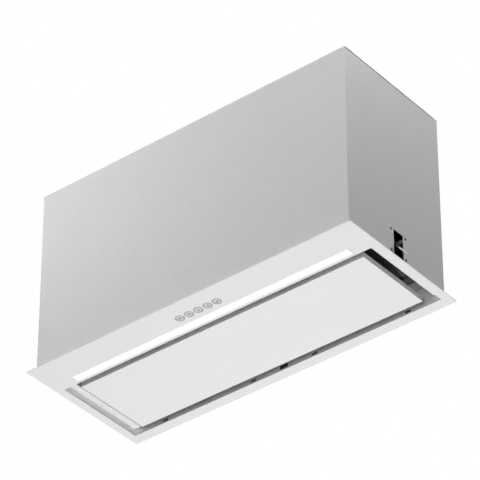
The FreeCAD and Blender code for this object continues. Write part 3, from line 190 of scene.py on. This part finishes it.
class Finish:
    """A procedural material on one shader, in the object's own coordinates."""

    def __init__(self, name, metallic=0.0):
        self.material = bpy.data.materials.new(name)
        self.material.use_nodes = True
        self.tree = self.material.node_tree
        self.nodes = self.tree.nodes
        self.shader = self.nodes["Principled BSDF"]
        self.shader.inputs["Metallic"].default_value = metallic
        self.place = self.nodes.new("ShaderNodeTexCoord").outputs["Object"]

    def link(self, source, target):
        """Joins an output to an input."""
        self.tree.links.new(source, target)

    def feed(self, socket, source):
        """Gives one input of the shader a varying value."""
        self.link(source, self.shader.inputs[socket])

    def mapped(self, scale=(1.0, 1.0, 1.0), turn=0.0, offset=(0.0, 0.0, 0.0)):
        """The object's coordinates scaled, turned about Z and moved."""
        node = self.nodes.new("ShaderNodeMapping")
        node.inputs["Scale"].default_value = scale
        node.inputs["Rotation"].default_value = (0.0, 0.0, turn)
        node.inputs["Location"].default_value = offset
        self.link(self.place, node.inputs["Vector"])
        return node.outputs["Vector"]

    def noise(self, scale, detail=4.0, stretch=None):
        """Cloudy noise, drawn out along the axes for rolled or drawn marks."""
        node = self.nodes.new("ShaderNodeTexNoise")
        node.inputs["Scale"].default_value = scale
        node.inputs["Detail"].default_value = detail
        place = self.mapped(stretch) if stretch else self.place
        self.link(place, node.inputs["Vector"])
        return node.outputs["Fac"]

    def cells(self, scale):
        """Flat random cells, like the crystals of a zinc coat."""
        node = self.nodes.new("ShaderNodeTexVoronoi")
        node.inputs["Scale"].default_value = scale
        self.link(self.place, node.inputs["Vector"])
        grey = self.nodes.new("ShaderNodeRGBToBW")
        self.link(node.outputs["Color"], grey.inputs["Color"])
        return grey.outputs["Val"]

    def blend(self, factor, low, high):
        """A colour that runs from low to high with a factor."""
        node = self.nodes.new("ShaderNodeMix")
        node.data_type = "RGBA"
        self.link(factor, node.inputs["Factor"])
        for socket, value in ((node.inputs[MIX_LOW], low), (node.inputs[MIX_HIGH], high)):
            if isinstance(value, tuple):
                socket.default_value = value
            else:
                self.link(value, socket)
        return node.outputs[MIX_RESULT]

    def shade(self, color, factor, spread, level=1.0):
        """A colour that wavers round a level of the given one."""
        return self.blend(factor, scaled(color, level - spread), scaled(color, level + spread))

    def span(self, value, start, end):
        """0 where a value is at its start, rising to 1 at its end."""
        node = self.nodes.new("ShaderNodeMapRange")
        node.inputs["From Min"].default_value = start
        node.inputs["From Max"].default_value = end
        self.link(value, node.inputs["Value"])
        return node.outputs["Result"]

    def ramp(self, axis, start, end):
        """0 at a start along one axis of the object, rising to 1 at an end."""
        split = self.nodes.new("ShaderNodeSeparateXYZ")
        self.link(self.place, split.inputs["Vector"])
        return self.span(split.outputs[axis], start, end)

    def zone(self, axis, edge):
        """0 before an edge along one axis of the object and 1 past it."""
        return self.ramp(axis, edge - PAINT_EDGE, edge + PAINT_EDGE)

    def drive(self, socket, factor, low, high):
        """Runs one input of the shader from low to high with a factor."""
        node = self.nodes.new("ShaderNodeMapRange")
        node.inputs["To Min"].default_value = low
        node.inputs["To Max"].default_value = high
        self.link(factor, node.inputs["Value"])
        self.feed(socket, node.outputs["Result"])

    def bump(self, factor, strength, distance):
        """Fine relief from a factor."""
        node = self.nodes.new("ShaderNodeBump")
        node.inputs["Strength"].default_value = strength
        node.inputs["Distance"].default_value = distance
        self.link(factor, node.inputs["Height"])
        self.feed("Normal", node.outputs["Normal"])


def powder_coat(name, color):
    """White powder coat: orange peel a few tenths of a millimetre across."""
    finish = Finish(name)
    finish.feed("Base Color", finish.shade(color, finish.noise(scale=9.0), spread=0.018))
    finish.drive("Roughness", finish.noise(scale=60.0), low=0.32, high=0.44)
    finish.bump(finish.noise(scale=1400.0, detail=2.0), strength=0.10, distance=0.0003)
    return finish.material


def part_painted(name, paint, bare_and_shade, heights, outer=None, metallic=0.0):
    """Sheet painted or bright between two heights, bare elsewhere, and dull there on an outer face. The
    unpainted colour is bare steel on the ledges and painted shade on the clip's leaf and on the rail's
    edge and lip, and the dull outer face is painted shade.
    """
    finish = Finish(name, metallic)
    grain = finish.noise(scale=30.0)
    color = finish.shade(paint, grain, spread=0.02)
    bare_and_shade_coat = finish.shade(bare_and_shade, grain, spread=0.08)
    # Painted shade: an outer face turns near-black steel
    if outer is not None:
        bare_and_shade_coat = finish.blend(finish.ramp("X", *outer), bare_and_shade_coat, scaled(PAINTED_SHADE_STEEL))
    color = finish.blend(finish.zone("Z", heights[0]), bare_and_shade_coat, color)
    color = finish.blend(finish.zone("Z", heights[1]), color, bare_and_shade_coat)
    finish.feed("Base Color", color)
    finish.drive("Roughness", finish.noise(scale=60.0), low=0.34, high=0.46)
    finish.bump(finish.noise(scale=1400.0, detail=2.0), strength=0.10, distance=0.0003)
    return finish.material


def zinc_sheet(name, color, metallic, roughness, spread, painted_shade_before=None):
    """Zinc-coated sheet: faint crystals and clouds, rolling marks, and painted shade, a near-black steel
    colour, before a place along Y.
    """
    finish = Finish(name, metallic)
    crystals = finish.cells(scale=70.0)
    levels = (1 - ZINC_CLOUDS, 1 + ZINC_CLOUDS)
    dark, light = (finish.shade(color, crystals, spread / 2, level) for level in levels)
    coat = finish.blend(finish.noise(scale=5.0), dark, light)
    # Painted shade: the sheet turns near-black before the given place along Y
    if painted_shade_before is not None:
        coat = finish.blend(finish.zone("Y", painted_shade_before), scaled(PAINTED_SHADE_STEEL), coat)
    finish.feed("Base Color", coat)
    finish.drive("Roughness", finish.noise(scale=35.0), low=roughness - 0.05, high=roughness + 0.05)
    finish.bump(finish.noise(scale=260.0, detail=3.0, stretch=ROLLED), strength=0.05, distance=0.0002)
    return finish.material


def drawn_metal(name, color, roughness, along):
    """Extruded or drawn metal with fine marks, scaled along X to draw them out."""
    finish = Finish(name, metallic=0.85)
    marks = finish.noise(scale=700.0, detail=3.0, stretch=(along, 1.0, 1.0))
    finish.feed("Base Color", finish.shade(color, marks, spread=0.07))
    finish.drive("Roughness", marks, low=roughness - 0.06, high=roughness + 0.08)
    finish.bump(marks, strength=0.06, distance=0.0002)
    return finish.material


def moulded(name, color, roughness):
    """Moulded plastic with a fine spark-eroded grain."""
    finish = Finish(name)
    finish.feed("Base Color", finish.shade(color, finish.noise(scale=40.0), spread=0.07))
    finish.drive("Roughness", finish.noise(scale=120.0), low=roughness - 0.06, high=roughness + 0.06)
    finish.bump(finish.noise(scale=1800.0, detail=2.0), strength=0.16, distance=0.0002)
    return finish.material


def mesh_metal(name, color):
    """Expanded aluminium mesh, drawn as crossing strands."""
    finish = Finish(name, metallic=0.8)
    strands = []
    for turn in (STRAND_TURN, -STRAND_TURN):
        wave = finish.nodes.new("ShaderNodeTexWave")
        wave.inputs["Scale"].default_value = 70.0
        finish.link(finish.mapped(turn=turn), wave.inputs["Vector"])
        strands.append(wave.outputs["Fac"])
    top = picked(finish.tree, "MAXIMUM", strands)
    finish.feed("Base Color", finish.shade(color, top, spread=0.5, level=0.75))
    finish.drive("Roughness", top, low=0.55, high=0.4)
    finish.bump(top, strength=0.6, distance=0.0008)
    return finish.material


def circuit_board(name, color):
    """Solder mask with the faint relief of tracks."""
    finish = Finish(name)
    tracks = finish.nodes.new("ShaderNodeTexBrick")
    tracks.inputs["Scale"].default_value = 60.0
    for socket, factor in (("Color1", 0.8), ("Color2", 1.1), ("Mortar", 1.8)):
        tracks.inputs[socket].default_value = scaled(color, factor)
    finish.link(finish.place, tracks.inputs["Vector"])
    finish.feed("Base Color", tracks.outputs["Color"])
    finish.drive("Roughness", finish.noise(scale=80.0), low=0.3, high=0.4)
    finish.bump(tracks.outputs["Fac"], strength=0.1, distance=0.0002)
    return finish.material


def opal_lamp(name, node):
    """Opal diffuser lit from behind, dimmer towards its edges."""
    finish = Finish(name)
    low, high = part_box(node)
    fades = (
        ("Y", low[1] + FRONT_FADE[0], low[1] + FRONT_FADE[1]),
        ("Y", high[1] - REAR_FADE[0], high[1] - REAR_FADE[1]),
        ("X", low[0] + END_FADE[0], low[0] + END_FADE[1]),
        ("X", high[0] - END_FADE[0], high[0] - END_FADE[1]),
    )
    lit = picked(finish.tree, "MINIMUM", [finish.ramp(*fade) for fade in fades])
    finish.drive("Emission Strength", lit, low=0.0, high=OPAL_GLOW)
    glow = finish.blend(finish.noise(scale=25.0), scaled(GLOW_COOL), scaled(GLOW_WHITE))
    finish.feed("Emission Color", glow)
    finish.feed("Base Color", finish.shade(OPAL_WHITE, finish.noise(scale=30.0), spread=0.01))
    finish.drive("Roughness", finish.noise(scale=80.0), low=0.26, high=0.34)
    finish.bump(finish.noise(scale=900.0, detail=2.0), strength=0.05, distance=0.0002)
    return finish.material


def button_face(index):
    """Middle of a button in plan, at the height of its lowest edge."""
    low, high = (Vector(corner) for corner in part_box("button_%d" % (index + 1)))
    centre = (low + high) / 2
    return Vector((centre.x, centre.y, low.z))


def button_finish(name, centre):
    """Satin button: pale middle, darker rim, by distance from its own centre."""
    finish = Finish(name)
    from_centre = finish.mapped(scale=(1.0, 1.0, 0.0), offset=(-centre.x, -centre.y, 0.0))
    distance = finish.nodes.new("ShaderNodeVectorMath")
    distance.operation = "LENGTH"
    finish.link(from_centre, distance.inputs[0])
    start, end = (BUTTON_RADIUS * share for share in BUTTON_RIM)
    rim = finish.span(distance.outputs["Value"], start, end)
    grain = finish.noise(scale=200.0)
    middle = finish.shade(BUTTON_FILL, grain, spread=0.03)
    edge = finish.shade(BUTTON_RING, grain, spread=0.05)
    finish.feed("Base Color", finish.blend(rim, middle, edge))
    finish.drive("Roughness", grain, low=0.28, high=0.36)
    finish.bump(finish.noise(scale=1500.0, detail=2.0), strength=0.08, distance=0.0002)
    return finish.material


def shared_finishes():
    """Finishes by the record's material slot."""
    return {
        "casing_steel": zinc_sheet("casing zinc", ZINC_STEEL, metallic=0.15, roughness=0.5, spread=0.03),
        "white_paint": powder_coat("white powder coat", WHITE_PAINT),
        "inner_steel": zinc_sheet("inner zinc", INNER_STEEL, metallic=0.3, roughness=0.45, spread=0.06),
        "fastener_steel": drawn_metal("zinc fasteners", FASTENER_STEEL, roughness=0.3, along=1.0),
        "spring_steel": part_painted("spring strip", SPRING_STEEL, CLIP_LEAF_SHADE, CLIP_BRIGHT, metallic=0.8),
        "dark_plastic": moulded("charcoal plastic", CHARCOAL, roughness=0.5),
        "lamp_aluminium": drawn_metal("lamp extrusion", ALUMINIUM, roughness=0.35, along=0.03),
        "opal": opal_lamp("opal lamp", "lamp_diffuser"),
        "board": circuit_board("circuit board", BOARD_GREEN),
        "lamp_chip": moulded("phosphor", PHOSPHOR, roughness=0.4),
        "driver_plastic": moulded("pale plastic", PALE_PLASTIC, roughness=0.5),
        "switch_black": moulded("switch plastic", SWITCH_BLACK, roughness=0.4),
        "button_grey": moulded("grey plastic", BUTTON_FILL, roughness=0.35),
        "filter_aluminium": drawn_metal("filter frame", FILTER_ALUMINIUM, roughness=0.5, along=0.05),
        "filter_mesh": mesh_metal("filter mesh", SHADED_MESH_ALUMINIUM),
        "scroll_plastic": moulded("scroll plastic", SCROLL_BLACK, roughness=0.5),
        "motor_metal": zinc_sheet("motor shell", MOTOR_GREY, metallic=0.5, roughness=0.45, spread=0.05),
        "rubber": moulded("rubber", RUBBER_BLACK, roughness=0.7),
    }


def rear_finish():
    """Zinc on the outside of the rear wall, and painted shade inside the casing: the inner face is
    coloured near-black so what shows through the slots and the side window reads dark.
    """
    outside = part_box("casing_rear")[1][1]
    middle = outside - SHEET / 2
    return zinc_sheet(
        "rear zinc with painted shade", ZINC_STEEL, metallic=0.15, roughness=0.5, spread=0.03, painted_shade_before=middle
    )


def ledge_finish(name, inner):
    """A ledge painted low down in a darker copy of the white paint, as painted shade, with the paint
    stopping on its bend so the bare steel there draws a thin painted shade line, and painted shade,
    near-black steel, on the face away from the recess.
    """
    thickness = math.copysign(SHEET, inner)
    outer = [inner + share * thickness for share in SHEET_MIDDLE]
    return part_painted(name + " paint", LEDGE_SHADED_WHITE, LEDGE_STEEL, LEDGE_PAINT, outer)


def own_finishes():
    """Finishes of single nodes, which differ from the rest of their slot."""
    finishes = {
        "casing_top": zinc_sheet("lid zinc", ZINC_STEEL, metallic=0.05, roughness=0.65, spread=0.05),
        "casing_rear": rear_finish(),
        "trim_frame": powder_coat("trim paint shaded copy", TRIM_SHADED_PAINT),
        "recess_frame": powder_coat("recess paint lit copy", RECESS_LIT_PAINT),
        # Painted shade on the rail's cut edge and lip
        "filter_rail": part_painted("rail", WHITE_PAINT, PAINTED_SHADE_STEEL, RAIL_PAINT),
        "ledge_left": ledge_finish("ledge_left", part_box("ledge_left")[1][0]),
        "ledge_right": ledge_finish("ledge_right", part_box("ledge_right")[0][0]),
    }
    for index in range(BUTTON_COUNT):
        name = "button_%d" % (index + 1)
        finishes[name] = button_finish(name + " satin", button_face(index))
    return finishes


def dress_nodes():
    """Puts a finish in the material slots of every CAD node."""
    shared = shared_finishes()
    own = own_finishes()
    for part in frame["record"]["subparts"]:
        finish = own.get(part["node"], shared[part["material_slot"]])
        for slot in NODES[part["node"]].material_slots:
            slot.material = finish


def arc_points(radius, start, sweep):
    """Points on an arc round the origin, angles in degrees."""
    angles = [math.radians(start + sweep * index / (ARC_POINTS - 1)) for index in range(ARC_POINTS)]
    return [(radius * math.cos(angle), radius * math.sin(angle)) for angle in angles]


def ring(inner, outer, start, sweep):
    """Outline of part of a ring."""
    return arc_points(outer, start, sweep) + arc_points(inner, start + sweep, -sweep)


def bar(x, y, width, height):
    """Outline of a bar centred on x, y."""
    return [(x + across * width / 2, y + up * height / 2) for across, up in SQUARE_CORNERS]


def turned(outline, degrees):
    """An outline turned round the origin."""
    cosine = math.cos(math.radians(degrees))
    sine = math.sin(math.radians(degrees))
    return [(x * cosine - y * sine, x * sine + y * cosine) for x, y in outline]


def lamp_sign():
    """A bulb with rays round it."""
    inner, outer = RAY_REACH
    ray = bar((inner + outer) / 2, 0.0, outer - inner, STROKE)
    rays = [turned(ray, 360 * index / RAY_COUNT) for index in range(RAY_COUNT)]
    return [ring(*BULB_RING, 0.0, BULB_SWEEP)] + rays


def off_sign():
    """An open ring with a bar in its gap."""
    return [ring(*OFF_RING, OFF_START, OFF_SWEEP), bar(0.0, OFF_BAR_Y, STROKE, OFF_BAR_LENGTH)]


def speed_sign(places, width, height):
    """One bar for each step of speed."""
    return [bar(x, SPEED_Y, width, height) for x in places]


def add_print(sign, outline, base):
    """A thin closed print over an outline in plan, with its heights counted from a base."""
    below, above = (
        [sign.verts.new((x, y, base + height)) for x, y in outline] for height in PRINT_HEIGHTS
    )
    sign.faces.new(below)
    sign.faces.new(above[::-1])
    for start in range(len(outline)):
        end = (start + 1) % len(outline)
        sign.faces.new((below[end], below[start], above[start], above[end]))


def build_signs():
    """Generic printed signs in the dish of each button: lamp, off, and three speeds."""
    ink = moulded("printed sign", SIGN_GREY, roughness=0.5)
    signs = [lamp_sign(), off_sign()] + [speed_sign(*bars) for bars in SPEED_BARS]
    for index, outlines in enumerate(signs):
        face = button_face(index)
        sign = bmesh.new()
        for outline in outlines:
            add_print(sign, [(face.x - x, face.y + y) for x, y in outline], face.z)
        bmesh.ops.recalc_face_normals(sign, faces=sign.faces)
        mesh = bpy.data.meshes.new("sign_%d" % (index + 1))
        sign.to_mesh(mesh)
        sign.free()
        mesh.materials.append(ink)
        piece = bpy.data.objects.new("sign_%d" % (index + 1), mesh)
        bpy.context.scene.collection.objects.link(piece)
        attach(piece, "push_button_%d" % (index + 1))


def white_rays(tree):
    """1 for the rays that see the background as plain white, else 0."""
    path = tree.nodes.new("ShaderNodeLightPath")
    return picked(tree, "MAXIMUM", [path.outputs[kind] for kind in WHITE_RAYS])


def floor_material():
    """Pale floor that shows as plain white to the camera and in reflections."""
    material = bpy.data.materials.new("pale floor")
    material.use_nodes = True
    tree = material.node_tree
    tree.nodes.clear()
    matte = tree.nodes.new("ShaderNodeBsdfDiffuse")
    matte.inputs["Color"].default_value = scaled(FLOOR_COLOR)
    white = tree.nodes.new("ShaderNodeEmission")
    white.inputs["Color"].default_value = scaled(BACKDROP_WHITE)
    mix = tree.nodes.new("ShaderNodeMixShader")
    output = tree.nodes.new("ShaderNodeOutputMaterial")
    tree.links.new(white_rays(tree), mix.inputs["Fac"])
    tree.links.new(matte.outputs["BSDF"], mix.inputs[1])
    tree.links.new(white.outputs["Emission"], mix.inputs[2])
    tree.links.new(mix.outputs["Shader"], output.inputs["Surface"])
    return material


def build_floor():
    """One large plane far below the hood, which hangs as it does in a cabinet."""
    mesh = bpy.data.meshes.new("floor")
    half = FLOOR_SIZE / 2
    corners = [(x * half, y * half, FLOOR_HEIGHT) for x, y in SQUARE_CORNERS]
    mesh.from_pydata(corners, [], [(0, 1, 2, 3)])
    floor = bpy.data.objects.new("floor", mesh)
    mesh.materials.append(floor_material())
    bpy.context.scene.collection.objects.link(floor)


def build_world():
    """White to the camera and in reflections, a plain soft level as light."""
    world = bpy.data.worlds.new("studio")
    bpy.context.scene.world = world
    world.use_nodes = True
    tree = world.node_tree
    background = tree.nodes["Background"]
    background.inputs["Color"].default_value = scaled(BACKDROP_WHITE)
    level = tree.nodes.new("ShaderNodeMapRange")
    level.inputs["To Min"].default_value = AMBIENT
    level.inputs["To Max"].default_value = 1.0
    tree.links.new(white_rays(tree), level.inputs["Value"])
    tree.links.new(level.outputs["Result"], background.inputs["Strength"])


def build_lights():
    """Soft square lamps, each aimed at a point."""
    for name, place, target, side, power in LAMPS:
        data = bpy.data.lights.new(name, "AREA")
        data.size = side
        data.energy = power
        lamp = bpy.data.objects.new(name, data)
        lamp.location = place
        lamp.rotation_euler = (Vector(target) - Vector(place)).to_track_quat("-Z", "Y").to_euler()
        lamp.visible_camera = False
        bpy.context.scene.collection.objects.link(lamp)


def build_camera():
    """Camera at the photograph's viewing angle."""
    data = bpy.data.cameras.new("camera")
    data.lens = CAMERA_LENS
    data.sensor_width = SENSOR_WIDTH
    data.clip_end = CAMERA_REACH
    camera = bpy.data.objects.new("camera", data)
    camera.location = CAMERA_PLACE
    ahead = Vector((
        -math.sin(CAMERA_AZIMUTH) * math.cos(CAMERA_ELEVATION),
        math.cos(CAMERA_AZIMUTH) * math.cos(CAMERA_ELEVATION),
        -math.sin(CAMERA_ELEVATION),
    ))
    camera.rotation_euler = ahead.to_track_quat("-Z", "Y").to_euler()
    bpy.context.scene.collection.objects.link(camera)
    bpy.context.scene.camera = camera


dress_nodes()
build_signs()
build_floor()
build_world()
build_lights()
build_camera()
bpy.context.scene.view_settings.view_transform = "Standard"
